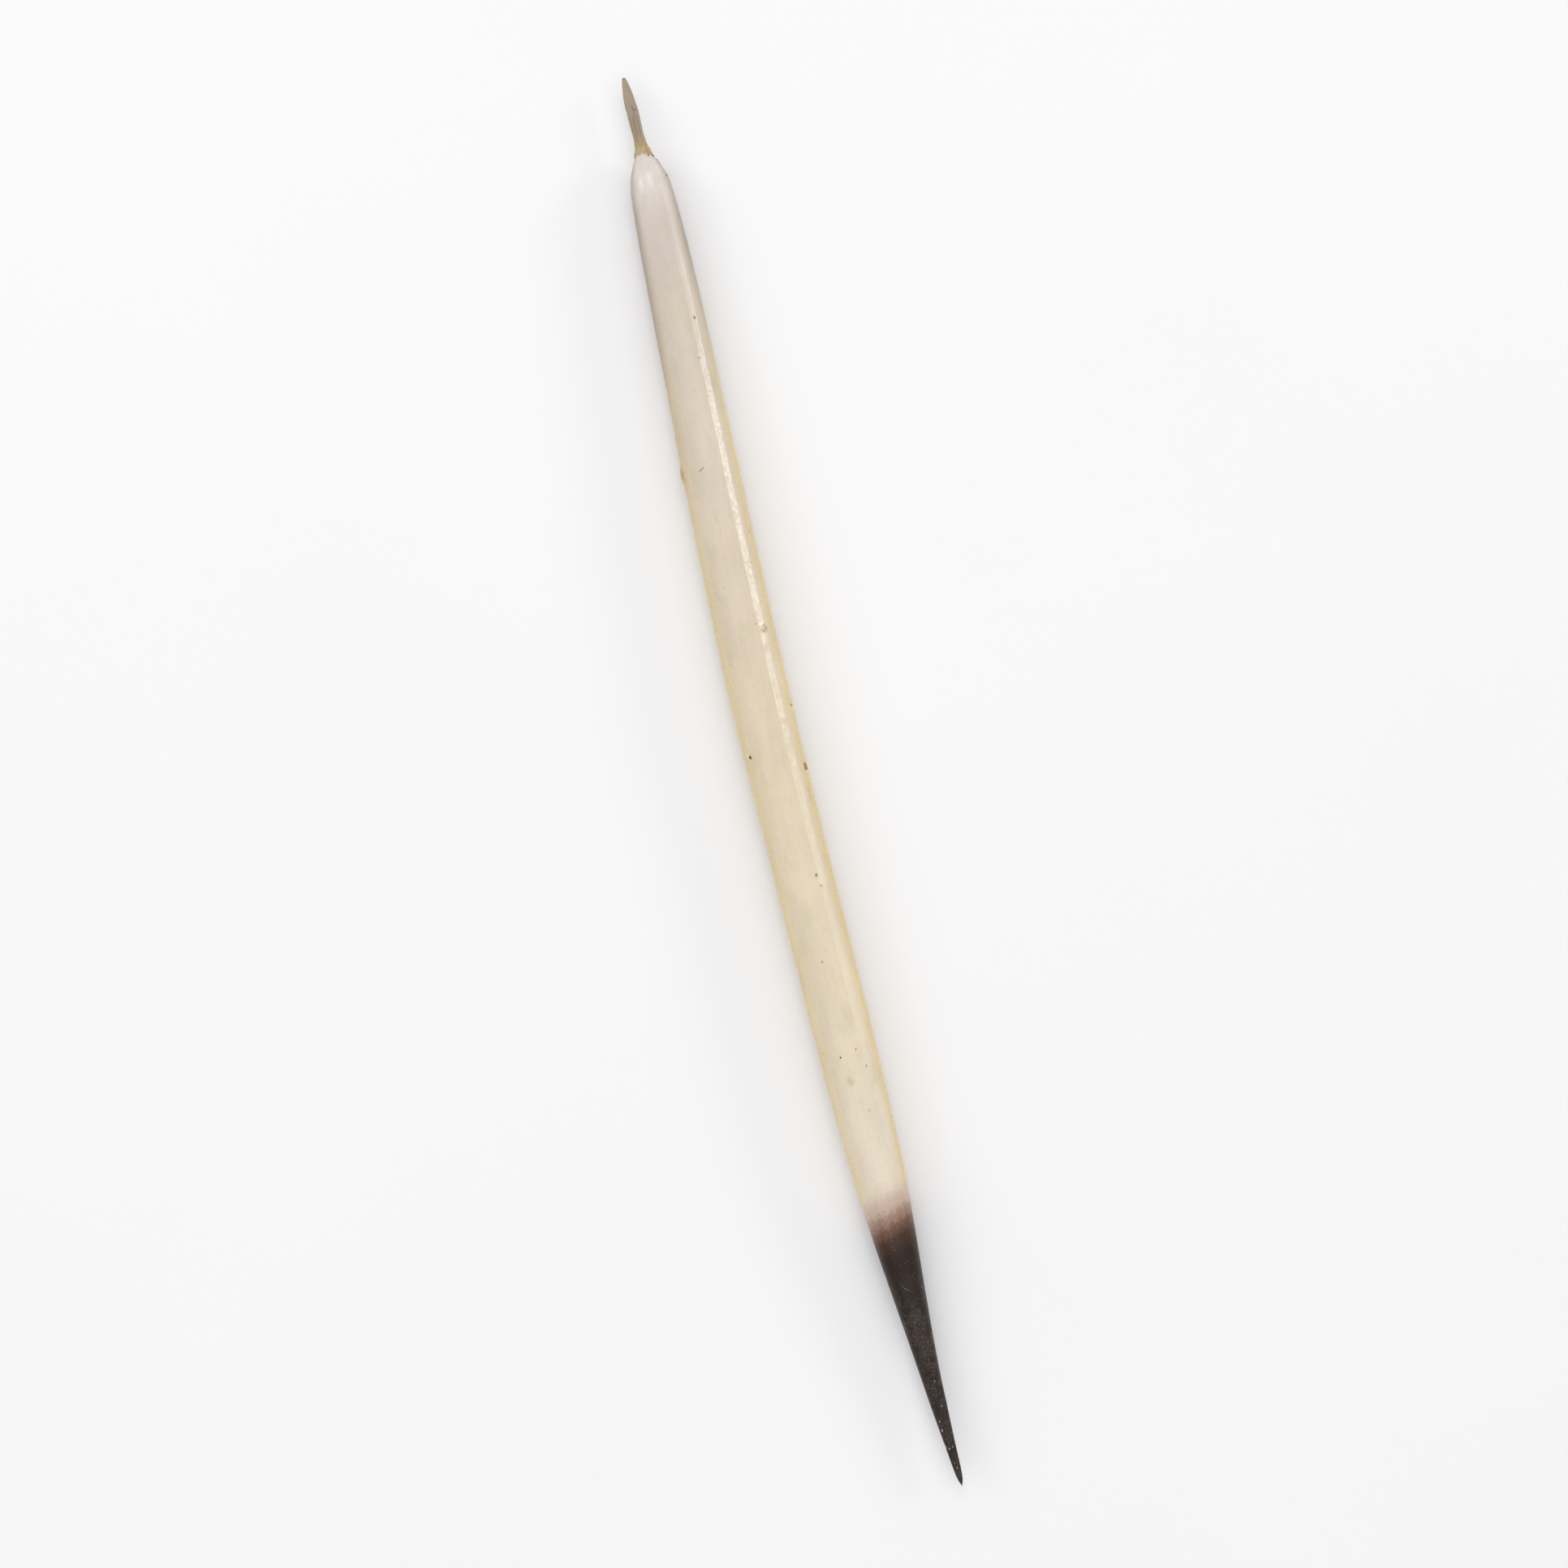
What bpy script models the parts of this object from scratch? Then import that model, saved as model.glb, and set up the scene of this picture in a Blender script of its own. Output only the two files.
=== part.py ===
"""One porcupine quill, lying on its side.

It is a single grown piece of keratin: a slim ivory shaft with a blunt rounded root end, a flattened
dry root stalk that stands out of it, and a long taper down to a needle point.
Metres, +Z up. +Y runs towards the root and the point is at -Y. The origin is under the middle of the
quill, on the surface that it lies on.
"""

import math

import bmesh
import bpy
from mathutils import Matrix, Vector

MM = 0.001

# Lengths along the quill. "Along" is counted from the shoulder, where the stalk leaves the shaft.
SHAFT_LENGTH = 59.4 * MM
STALK_LENGTH = 3.5 * MM
STALK_ROOTED = 0.6 * MM
SHOULDER_Y = (SHAFT_LENGTH + STALK_LENGTH) / 2 - STALK_LENGTH

# The shaft's width at each distance along it.
SHAFT_WIDTHS = [
    (0.00 * MM, 0.74 * MM),
    (0.25 * MM, 0.98 * MM),
    (0.50 * MM, 1.23 * MM),
    (0.75 * MM, 1.45 * MM),
    (1.00 * MM, 1.61 * MM),
    (1.50 * MM, 1.80 * MM),
    (2.00 * MM, 1.89 * MM),
    (3.00 * MM, 2.01 * MM),
    (4.50 * MM, 2.14 * MM),
    (7.00 * MM, 2.28 * MM),
    (11.00 * MM, 2.42 * MM),
    (16.00 * MM, 2.57 * MM),
    (24.00 * MM, 2.665 * MM),
    (32.00 * MM, 2.60 * MM),
    (38.00 * MM, 2.60 * MM),
    (42.00 * MM, 2.52 * MM),
    (45.50 * MM, 2.28 * MM),
    (48.20 * MM, 1.90 * MM),
    (51.00 * MM, 1.42 * MM),
    (53.50 * MM, 1.01 * MM),
    (56.00 * MM, 0.66 * MM),
    (58.00 * MM, 0.38 * MM),
    (59.00 * MM, 0.20 * MM),
    (59.40 * MM, 0.08 * MM),
]

# The shaft bows a little to its -X side.
SHAFT_BOW = [
    (0.0 * MM, 0.0 * MM),
    (4.0 * MM, -0.07 * MM),
    (10.0 * MM, -0.23 * MM),
    (18.0 * MM, -0.47 * MM),
    (25.0 * MM, -0.57 * MM),
    (32.0 * MM, -0.52 * MM),
    (40.0 * MM, -0.43 * MM),
    (48.0 * MM, -0.34 * MM),
    (54.0 * MM, -0.23 * MM),
    (59.4 * MM, 0.0 * MM),
]

# The stalk's width at each distance out of the shoulder, and its thickness as a share of that width.
STALK_WIDTHS = [
    (-0.60 * MM, 0.66 * MM),
    (0.00 * MM, 0.68 * MM),
    (0.50 * MM, 0.58 * MM),
    (1.50 * MM, 0.54 * MM),
    (2.30 * MM, 0.49 * MM),
    (3.00 * MM, 0.31 * MM),
    (3.50 * MM, 0.10 * MM),
]
STALK_FLATNESS = 0.40
STALK_LEAN = 0.06 * MM
STALK_DROOP = 0.10 * MM

# The shaft's section: a little lower than wide, with three soft edges, one of them up and to +X.
SECTION_SIDES = 28
SECTION_FLATNESS = 0.95
SECTION_EDGE = 0.022
SECTION_EDGE_ANGLE = math.radians(58)

# It lies on a narrow flat along its underside, and from there the point hangs a little.
REST_START = 6.0 * MM
REST_END = 41.0 * MM
UNDERSIDE_DEPTH = 0.05 * MM
POINT_DROOP = 0.22 * MM

ROOT_END_STEPS = 12
ROOT_END_LENGTH = 4.5 * MM
SHAFT_STEP = 1.0 * MM
STALK_STEPS = 12
STALK_SIDES = 14


def smooth_through(points, at):
    """The value at one distance of a smooth curve through (distance, value) points, with no overshoot."""
    xs = [x for x, _ in points]
    ys = [y for _, y in points]
    if at <= xs[0]:
        return ys[0]
    if at >= xs[-1]:
        return ys[-1]
    slopes = [(ys[i + 1] - ys[i]) / (xs[i + 1] - xs[i]) for i in range(len(xs) - 1)]
    tangents = [slopes[0]]
    for before, after in zip(slopes, slopes[1:]):
        turning = before * after <= 0
        tangents.append(0.0 if turning else 2 * before * after / (before + after))
    tangents.append(slopes[-1])
    i = max(k for k in range(len(xs) - 1) if xs[k] <= at)
    width = xs[i + 1] - xs[i]
    t = (at - xs[i]) / width
    return (
        (2 * t**3 - 3 * t**2 + 1) * ys[i]
        + (t**3 - 2 * t**2 + t) * width * tangents[i]
        + (3 * t**2 - 2 * t**3) * ys[i + 1]
        + (t**3 - t**2) * width * tangents[i + 1]
    )


def section_point(angle):
    """A point of the shaft's section for a half width of 1."""
    reach = 1 + SECTION_EDGE * math.cos(3 * (angle - SECTION_EDGE_ANGLE))
    return Vector((reach * math.cos(angle), reach * math.sin(angle) * SECTION_FLATNESS, 0))


def section_depth():
    """How far the section reaches below its middle, for a half width of 1."""
    angles = [2 * math.pi * i / SECTION_SIDES for i in range(SECTION_SIDES)]
    return -min(section_point(angle).y for angle in angles)


def shaft_centre(along):
    """A point of the shaft's axis: it keeps the underside level over the stretch that it rests on."""
    resting = min(max(along, REST_START), REST_END)
    height = section_depth() * smooth_through(SHAFT_WIDTHS, resting) / 2 - UNDERSIDE_DEPTH
    past_rest = max(0.0, along - REST_END) / (SHAFT_LENGTH - REST_END)
    height -= POINT_DROOP * past_rest**2
    return Vector((smooth_through(SHAFT_BOW, along), SHOULDER_Y - along, height))


def stalk_centre(out):
    """A point of the stalk's axis, at a distance out of the shoulder."""
    share = out / STALK_LENGTH
    shoulder = shaft_centre(0)
    return shoulder + Vector((-STALK_LEAN * share, out, -STALK_DROOP * share * abs(share)))


def shaft_stations():
    """Distances along the shaft: close together round the blunt root end, then evenly to the point."""
    root_end = [
        ROOT_END_LENGTH * (1 - math.cos(math.pi / 2 * i / ROOT_END_STEPS))
        for i in range(ROOT_END_STEPS)
    ]
    count = round((SHAFT_LENGTH - ROOT_END_LENGTH) / SHAFT_STEP)
    rest = [
        ROOT_END_LENGTH + (SHAFT_LENGTH - ROOT_END_LENGTH) * i / count for i in range(count + 1)
    ]
    return root_end + rest


def closed_outline(name, points):
    """A flat closed curve that a tube is swept with."""
    data = bpy.data.curves.new(name, "CURVE")
    data.dimensions = "2D"
    spline = data.splines.new("POLY")
    spline.points.add(len(points) - 1)
    for target, point in zip(spline.points, points):
        target.co = (point.x, point.y, 0, 1)
    spline.use_cyclic_u = True
    outline = bpy.data.objects.new(name, data)
    outline.hide_render = True
    outline.display_type = "WIRE"
    guides.objects.link(outline)
    return outline


def swept_tube(name, outline, centres, half_widths):
    """A mesh swept along its axis with one outline, which each half width scales."""
    data = bpy.data.curves.new(name + "_axis", "CURVE")
    data.dimensions = "3D"
    data.twist_mode = "Z_UP"
    data.bevel_mode = "OBJECT"
    data.bevel_object = outline
    data.use_fill_caps = True
    spline = data.splines.new("POLY")
    spline.points.add(len(centres) - 1)
    for target, centre, half_width in zip(spline.points, centres, half_widths):
        target.co = (*centre, 1)
        target.radius = half_width
    curve = bpy.data.objects.new(name + "_axis", data)
    quill_parts.objects.link(curve)
    bpy.context.view_layer.update()
    graph = bpy.context.evaluated_depsgraph_get()
    mesh = bpy.data.meshes.new_from_object(curve.evaluated_get(graph))
    bpy.data.objects.remove(curve)
    shape = bmesh.new()
    shape.from_mesh(mesh)
    bmesh.ops.remove_doubles(shape, verts=shape.verts, dist=0.001 * MM)
    bmesh.ops.recalc_face_normals(shape, faces=shape.faces)
    shape.to_mesh(mesh)
    shape.free()
    mesh.name = name
    tube = bpy.data.objects.new(name, mesh)
    return tube


def make_shaft():
    angles = [2 * math.pi * i / SECTION_SIDES for i in range(SECTION_SIDES)]
    outline = closed_outline("shaft_section", [section_point(angle) for angle in angles])
    stations = shaft_stations()
    return swept_tube(
        "quill",
        outline,
        [shaft_centre(along) for along in stations],
        [smooth_through(SHAFT_WIDTHS, along) / 2 for along in stations],
    )


def make_stalk():
    angles = [2 * math.pi * i / STALK_SIDES for i in range(STALK_SIDES)]
    points = [Vector((math.cos(a), math.sin(a) * STALK_FLATNESS, 0)) for a in angles]
    outline = closed_outline("stalk_section", points)
    reach = STALK_LENGTH + STALK_ROOTED
    stations = [reach * i / STALK_STEPS - STALK_ROOTED for i in range(STALK_STEPS + 1)]
    return swept_tube(
        "stalk",
        outline,
        [stalk_centre(out) for out in stations],
        [smooth_through(STALK_WIDTHS, out) / 2 for out in stations],
    )


def join_stalk(shaft, stalk):
    """The stalk grows out of the shaft, so the two are one body."""
    guides.objects.link(stalk)
    stalk.hide_render = True
    stalk.display_type = "WIRE"
    union = shaft.modifiers.new("stalk", "BOOLEAN")
    union.operation = "UNION"
    union.object = stalk


def level_underside(shaft):
    """The underside is trimmed level at the surface that it lies on, which leaves a narrow flat."""
    width, length, depth = 6 * MM, SHAFT_LENGTH + 10 * MM, 4 * UNDERSIDE_DEPTH
    block = bpy.data.meshes.new("underside_cutter")
    shape = bmesh.new()
    bmesh.ops.create_cube(shape, size=1)
    bmesh.ops.scale(shape, verts=shape.verts, vec=(width, length, depth))
    bmesh.ops.translate(shape, verts=shape.verts, vec=(0, 0, -depth / 2))
    shape.to_mesh(block)
    shape.free()
    cutter = bpy.data.objects.new("underside_cutter", block)
    cutter.hide_render = True
    cutter.display_type = "WIRE"
    guides.objects.link(cutter)
    cut = shaft.modifiers.new("underside", "BOOLEAN")
    cut.operation = "DIFFERENCE"
    cut.object = cutter


def centre_on_origin(shaft):
    """Sets the quill's box evenly about X = 0. Its length and its underside are already in place."""
    bpy.context.view_layer.update()
    sides = [corner[0] for corner in shaft.bound_box]
    sideways = Matrix.Translation((-(min(sides) + max(sides)) / 2, 0, 0))
    for thing in [shaft, *guides.objects]:
        if thing.type == "MESH":
            thing.data.transform(sideways)


def ivory_keratin():
    material = bpy.data.materials.new("ivory_keratin")
    material.use_nodes = True
    shader = material.node_tree.nodes["Principled BSDF"]
    shader.inputs["Base Color"].default_value = (0.70, 0.62, 0.46, 1)
    shader.inputs["Roughness"].default_value = 0.38
    shader.inputs["Metallic"].default_value = 0.0
    return material


for old in list(bpy.data.objects):
    bpy.data.objects.remove(old)
quill_parts = bpy.data.collections.new("porcupine_quill")
guides = bpy.data.collections.new("quill_guides")
bpy.context.scene.collection.children.link(quill_parts)
bpy.context.scene.collection.children.link(guides)

quill = make_shaft()
quill_parts.objects.link(quill)
quill.data.materials.append(ivory_keratin())
join_stalk(quill, make_stalk())
level_underside(quill)
centre_on_origin(quill)
quill.data.shade_smooth()
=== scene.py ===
import functools
import math
import random

import bmesh
import bpy
from mathutils import Matrix, Vector, noise


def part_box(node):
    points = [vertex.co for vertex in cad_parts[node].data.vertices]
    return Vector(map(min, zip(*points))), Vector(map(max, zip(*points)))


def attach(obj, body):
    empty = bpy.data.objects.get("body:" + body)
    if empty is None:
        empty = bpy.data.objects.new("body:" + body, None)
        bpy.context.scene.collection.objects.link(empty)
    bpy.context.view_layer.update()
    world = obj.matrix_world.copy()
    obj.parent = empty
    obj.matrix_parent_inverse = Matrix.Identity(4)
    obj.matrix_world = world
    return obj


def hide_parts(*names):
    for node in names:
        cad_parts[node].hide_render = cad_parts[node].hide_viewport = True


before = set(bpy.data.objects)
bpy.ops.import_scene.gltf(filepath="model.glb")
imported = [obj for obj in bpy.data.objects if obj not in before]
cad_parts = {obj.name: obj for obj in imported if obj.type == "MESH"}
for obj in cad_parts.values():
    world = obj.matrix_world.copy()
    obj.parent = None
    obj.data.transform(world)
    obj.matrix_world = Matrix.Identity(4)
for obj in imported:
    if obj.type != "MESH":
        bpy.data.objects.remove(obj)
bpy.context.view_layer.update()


# The shaft: one grown tube of ivory keratin. Its root end is a blunt dome, soft flats and low ridges
# run along its sides, and it tapers to a needle point that is brown-black over the last fifth. It
# lies on the narrow flat along its underside.

MM = 0.001


def in_mm(points):
    """Pairs of distances, given in millimetres."""
    return [(at * MM, value * MM) for at, value in points]


QUILL_LOW, QUILL_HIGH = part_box("quill")
STALK_LENGTH = 3.5 * MM
SHOULDER_Y = QUILL_HIGH.y - STALK_LENGTH
SHAFT_LENGTH = SHOULDER_Y - QUILL_LOW.y

# Distance from the shoulder and the shaft's width there.
SHAFT_WIDTHS = in_mm([
    (-0.14, 0.00),
    (-0.12, 0.30),
    (-0.05, 0.60),
    (0.07, 0.80),
    (0.25, 1.00),
    (0.50, 1.24),
    (0.75, 1.45),
    (1.00, 1.61),
    (1.50, 1.80),
    (2.00, 1.89),
    (3.00, 2.01),
    (4.50, 2.14),
    (7.00, 2.28),
    (11.00, 2.42),
    (16.00, 2.57),
    (24.00, 2.665),
    (32.00, 2.60),
    (38.00, 2.60),
    (42.00, 2.52),
    (45.50, 2.28),
    (48.20, 1.90),
    (51.00, 1.42),
    (53.50, 1.01),
    (56.00, 0.66),
    (58.00, 0.39),
    (58.60, 0.32),
    (59.05, 0.22),
    (SHAFT_LENGTH / MM, 0.00),
])
# Distance from the shoulder and how far the shaft bows to +X there.
SHAFT_BOW = in_mm([
    (0.0, 0.00),
    (4.0, -0.07),
    (10.0, -0.23),
    (18.0, -0.47),
    (25.0, -0.57),
    (32.0, -0.52),
    (40.0, -0.43),
    (48.0, -0.34),
    (54.0, -0.23),
    (SHAFT_LENGTH / MM, 0.00),
])
SECTION_FLATNESS = 0.95
REST_START, REST_END = 6.0 * MM, 41.0 * MM
UNDERSIDE_DEPTH = 0.05 * MM
POINT_DROOP = 0.22 * MM
# The rim of the dome round the stalk is torn into small lobes.
RIM_LOBES, RIM_LOBE_RISE = 8, 0.065 * MM
AROUND, ALONG = 120, 780
DOME_ROWS, DOME_LENGTH = 70, 4.5 * MM
# Lengthwise ridges between the soft flats: the way each faces, in degrees from +X towards up, its
# height for a half width of 1, and how soft its crest is.
RIDGES = [
    (126, 0.006, 0.34),
    (178, 0.010, 0.26),
    (-14, 0.022, 0.16),
    (232, 0.018, 0.18),
    (300, 0.018, 0.18),
]
RIDGE_SPREAD = 0.42
# Taken off every ridge, so that the shaft keeps its width.
RIDGE_MEAN = 0.35
# The ridges rise behind the dome and fade before the point.
RIDGES_RISE, RIDGES_FADE = (1.5 * MM, 7 * MM), (50 * MM, 56 * MM)
# A narrow flat all along the right of the shaft's top, which carries the line of light. It turns
# outwards a little on its way to the point.
FACET_FACING_AT_ROOT, FACET_FACING = math.radians(57), math.radians(53)
FACET_TURN = (6 * MM, 24 * MM)
FACET_HALF = math.radians(7.5)
# Knots, and pits where the height is below 0: distance from the shoulder, way it faces in degrees,
# height, length, width.
KNOTS = [
    (13.9 * MM, 173, 0.085 * MM, 0.36 * MM, 0.42 * MM),
    (21.9 * MM, 60, 0.020 * MM, 0.26 * MM, 0.22 * MM),
    (21.2 * MM, 52, 0.014 * MM, 0.20 * MM, 0.22 * MM),
    (25.2 * MM, 54, 0.014 * MM, 0.17 * MM, 0.22 * MM),
    (33.0 * MM, 170, 0.018 * MM, 0.50 * MM, 0.30 * MM),
    (7.3 * MM, 128, -0.012 * MM, 0.30 * MM, 0.25 * MM),
    (29.4 * MM, 104, -0.010 * MM, 0.36 * MM, 0.22 * MM),
]
# The surface's unevenness. Its waves are higher near the root, and all of it is less on the point.
SWELL_HEIGHT = 0.014 * MM
GRAIN_HEIGHT = 0.002 * MM
RIPPLE_HEIGHT = 0.0015 * MM
WAVE_HEIGHT, WAVE_HEIGHT_AT_ROOT = 0.004 * MM, 0.010 * MM
WAVES_CALM = (1 * MM, 5 * MM)
FULL_RELIEF_HALF_WIDTH = 0.6 * MM


def smooth_through(points, at):
    """A smooth curve through (distance, value) points, at one distance. It doesn't overshoot."""
    xs = [x for x, _ in points]
    ys = [y for _, y in points]
    if at <= xs[0]:
        return ys[0]
    if at >= xs[-1]:
        return ys[-1]
    slopes = [(ys[i + 1] - ys[i]) / (xs[i + 1] - xs[i]) for i in range(len(xs) - 1)]
    tangents = [slopes[0]]
    for before, after in zip(slopes, slopes[1:]):
        turning = before * after <= 0
        tangents.append(0.0 if turning else 2 * before * after / (before + after))
    tangents.append(slopes[-1])
    i = max(k for k in range(len(xs) - 1) if xs[k] <= at)
    width = xs[i + 1] - xs[i]
    t = (at - xs[i]) / width
    return (
        (2 * t**3 - 3 * t**2 + 1) * ys[i]
        + (t**3 - 2 * t**2 + t) * width * tangents[i]
        + (3 * t**2 - 2 * t**3) * ys[i + 1]
        + (t**3 - t**2) * width * tangents[i + 1]
    )


def eased(low, high, value):
    """0 below low, 1 above high, and a smooth rise between them."""
    t = min(1.0, max(0.0, (value - low) / (high - low)))
    return t * t * (3 - 2 * t)


def point_x():
    """Where the CAD quill's point is, across: the bow is counted from there."""
    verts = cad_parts["quill"].data.vertices
    near = [v.co.x for v in verts if v.co.y < QUILL_LOW.y + 0.02 * MM]
    return sum(near) / len(near)


POINT_X = point_x()


def turn_from(facing, angle):
    """The turn from one way to another, by the shorter way round."""
    return math.remainder(angle - facing, 2 * math.pi)


def column_angle(turn, around):
    """The way that a tube's column faces. The columns start and end straight down."""
    return 2 * math.pi * (round(turn * around) % around) / around - math.pi / 2


@functools.cache
def shaft_centre(along):
    """A point of the shaft's axis. The underside is level over the stretch that it rests on."""
    resting = min(max(along, REST_START), REST_END)
    height = SECTION_FLATNESS * smooth_through(SHAFT_WIDTHS, resting) / 2 - UNDERSIDE_DEPTH
    past_rest = max(0.0, along - REST_END) / (SHAFT_LENGTH - REST_END)
    height -= POINT_DROOP * past_rest**2
    return Vector((POINT_X + smooth_through(SHAFT_BOW, along), SHOULDER_Y - along, height))


@functools.cache
def half_width(along):
    """Half the shaft's width at a distance from the shoulder."""
    return smooth_through(SHAFT_WIDTHS, along) / 2


def section_ridges(angle, along):
    """How far the ridges stand out one way, for a half width of 1."""
    total = 0.0
    for facing, height, softness in RIDGES:
        turn = turn_from(math.radians(facing), angle)
        total += height * (math.exp(-math.hypot(turn, softness) / RIDGE_SPREAD) - RIDGE_MEAN)
    turned = eased(*FACET_TURN, along)
    facing = FACET_FACING_AT_ROOT + (FACET_FACING - FACET_FACING_AT_ROOT) * turned
    off_facet = abs(turn_from(facing, angle))
    if off_facet < FACET_HALF:
        total += math.cos(FACET_HALF) / math.cos(off_facet) - 1
    return total


def knots_height(angle, along):
    """The knots and pits near one place of the surface."""
    height = 0.0
    for knot_along, facing, rise, length, width in KNOTS:
        away = (along - knot_along) / length
        if abs(away) < 3:
            across = turn_from(math.radians(facing), angle) * half_width(along) / width
            height += rise * math.exp(-(away**2) - across**2)
    return height


def relief(angle, along):
    """How far the surface stands off its smooth form: swellings, lengthwise grain and small waves."""
    reach = half_width(along) / MM
    side, up, way = reach * math.cos(angle), reach * math.sin(angle), along / MM

    def pattern(across, lengthwise, start):
        return noise.noise(Vector((side * across, way * lengthwise + start, up * across)))

    calm = eased(*WAVES_CALM, along)
    fine = SWELL_HEIGHT * pattern(0.5, 0.16, 0)
    fine += GRAIN_HEIGHT * pattern(3.4, 0.22, 40)
    fine += (WAVE_HEIGHT_AT_ROOT + (WAVE_HEIGHT - WAVE_HEIGHT_AT_ROOT) * calm) * pattern(2.0, 2.4, 80)
    fine += RIPPLE_HEIGHT * pattern(5.0, 5.2, 120)
    return fine * min(1.0, half_width(along) / FULL_RELIEF_HALF_WIDTH)


def rim_lobe(angle, along):
    """How far a lobe of the torn rim stands out over the foot of the stalk."""
    near_rim = eased(-0.12 * MM, -0.02 * MM, along) * (1 - eased(0.04 * MM, 0.22 * MM, along))
    if near_rim == 0:
        return 0.0
    uneven = noise.noise(Vector((math.cos(angle) * 1.7, math.sin(angle) * 1.7, 5)))
    wave = math.sin(RIM_LOBES * angle + 4 * uneven)
    return RIM_LOBE_RISE * near_rim * max(0.0, wave) ** 0.7 * (0.65 + uneven)


def shaft_point(angle, along, lift=0.0):
    """A point of the shaft's surface, facing one way at one distance from the shoulder."""
    ridged = eased(*RIDGES_RISE, along) * (1 - eased(*RIDGES_FADE, along))
    reach = half_width(along) * (1 + ridged * section_ridges(angle, along))
    reach += relief(angle, along) + knots_height(angle, along) + lift
    across = Vector((math.cos(angle), 0, math.sin(angle) * SECTION_FLATNESS))
    place = shaft_centre(along) + across * reach
    place.y += rim_lobe(angle, along)
    place.z = max(place.z, 0.0)
    return place


def wrapped_tube(name, around, along, surface, masks=None):
    """A grid rolled into a tube by surface(turn, way), both 0 to 1. Its UV map holds the two.

    Each mask is a function of the two as well, and is kept as an attribute of the mesh.
    """
    shape = bmesh.new()
    shape.loops.layers.uv.new("UVMap")
    layers = [(shape.verts.layers.float.new(label), mask) for label, mask in (masks or {}).items()]
    bmesh.ops.create_grid(shape, x_segments=around, y_segments=along, size=0.5, calc_uvs=True)
    for vert in shape.verts:
        turn, way = vert.co.x + 0.5, vert.co.y + 0.5
        for layer, mask in layers:
            vert[layer] = mask(turn, way)
        vert.co = surface(turn, way)
    bmesh.ops.remove_doubles(shape, verts=shape.verts, dist=0.0001 * MM)
    bmesh.ops.recalc_face_normals(shape, faces=shape.faces)
    return finished_piece(name, shape)


def finished_piece(name, shape):
    """Makes the object of a bmesh whose place is in its mesh, and sets it on the quill's body."""
    mesh = bpy.data.meshes.new(name)
    shape.to_mesh(mesh)
    shape.free()
    mesh.shade_smooth()
    piece = bpy.data.objects.new(name, mesh)
    bpy.context.scene.collection.objects.link(piece)
    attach(piece, "root")
    return piece


def shaft_surface(turn, way):
    """The rows are close together round the dome, and even from there to the point."""
    row = round(way * ALONG)
    start = SHAFT_WIDTHS[0][0]
    if row <= DOME_ROWS:
        along = start + (DOME_LENGTH - start) * (1 - math.cos(math.pi / 2 * row / DOME_ROWS))
    else:
        along = DOME_LENGTH + (SHAFT_LENGTH - DOME_LENGTH) * (row - DOME_ROWS) / (ALONG - DOME_ROWS)
    if row in (0, ALONG):
        return shaft_centre(along)
    return shaft_point(column_angle(turn, AROUND), along)


def srgb(red, green, blue):
    """A colour as a photograph's 0 to 255, made linear."""
    parts = [c / 255 for c in (red, green, blue)]
    return tuple(c / 12.92 if c <= 0.04045 else ((c + 0.055) / 1.055) ** 2.4 for c in parts) + (1,)


# Distance from the shoulder in millimetres and the ivory's colour there.
IVORY_STOPS = [
    (0.4, srgb(219, 212, 206)),
    (3.5, srgb(206, 196, 187)),
    (8.0, srgb(208, 197, 182)),
    (16.0, srgb(214, 201, 182)),
    (27.0, srgb(219, 205, 180)),
    (36.0, srgb(222, 209, 184)),
    (45.0, srgb(223, 212, 193)),
]
IVORY_BLUSH = srgb(222, 192, 176)
IVORY_GREEN = srgb(190, 184, 144)
# Painted light: warm yellow on both flanks, standing for light bounced from neighbouring quills onto
# the sides that turn away.
FLANK_BOUNCE_YELLOW = srgb(218, 192, 130)
# Painted shade: grey-brown on both edges near the root, standing for the dark surroundings that the
# edges face.
ROOT_EDGE_SHADE = srgb(122, 107, 92)
STAIN_BROWN = srgb(166, 136, 98)
FAINT_STAIN = srgb(190, 164, 132)
PIGMENT_BROWN = srgb(40, 25, 18)
PIGMENT_BLACK = srgb(18, 11, 8)
DUST_ON_DARK = srgb(112, 98, 90)
# The pigment's colour as it thickens towards the point, from none at 0 to full at 1.
PIGMENT_STOPS = [
    (0.26, srgb(194, 172, 156)),
    (0.46, srgb(152, 124, 108)),
    (0.64, srgb(104, 75, 58)),
    (0.80, srgb(66, 42, 29)),
    (1.00, PIGMENT_BROWN),
]
# Millimetres from the shoulder.
PIGMENT_START, PIGMENT_FULL = 45.4, 49.4
# How far the pigment's edge moves, in millimetres: with the side it is on, in streaks and in grit,
# and the whole of it.
EDGE_SLANT, EDGE_STREAKS, EDGE_GRIT, EDGE_SHIFT = 0.30, 0.45, 0.90, 0.68
# How much of the painted bounce light and edge shade on the flanks is missing underneath.
UNDERSIDE_PALER = 0.70
# The grain's height as a share of its spacing, and the share of its coarser streaks.
GRAIN_DEPTH, COARSE_SHARE = 0.02, 0.65
# The half width in millimetres by which a stain's angle is turned into a distance.
STAINED_HALF_WIDTH = 1.3


def add_node(tree, kind, inputs=None, **settings):
    """Adds a shader node. Its inputs are given by name or number, as values or as other outputs."""
    made = tree.nodes.new("ShaderNode" + kind)
    for name, value in settings.items():
        setattr(made, name, value)
    for key, value in (inputs or {}).items():
        if isinstance(value, bpy.types.NodeSocket):
            tree.links.new(value, made.inputs[key])
        else:
            made.inputs[key].default_value = value
    return made


def reckon(tree, operation, first, second=0.0, third=0.0):
    """One step of arithmetic."""
    made = add_node(tree, "Math", {0: first, 1: second, 2: third}, operation=operation)
    return made.outputs[0]


def times(tree, first, second):
    return reckon(tree, "MULTIPLY", first, second)


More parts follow.
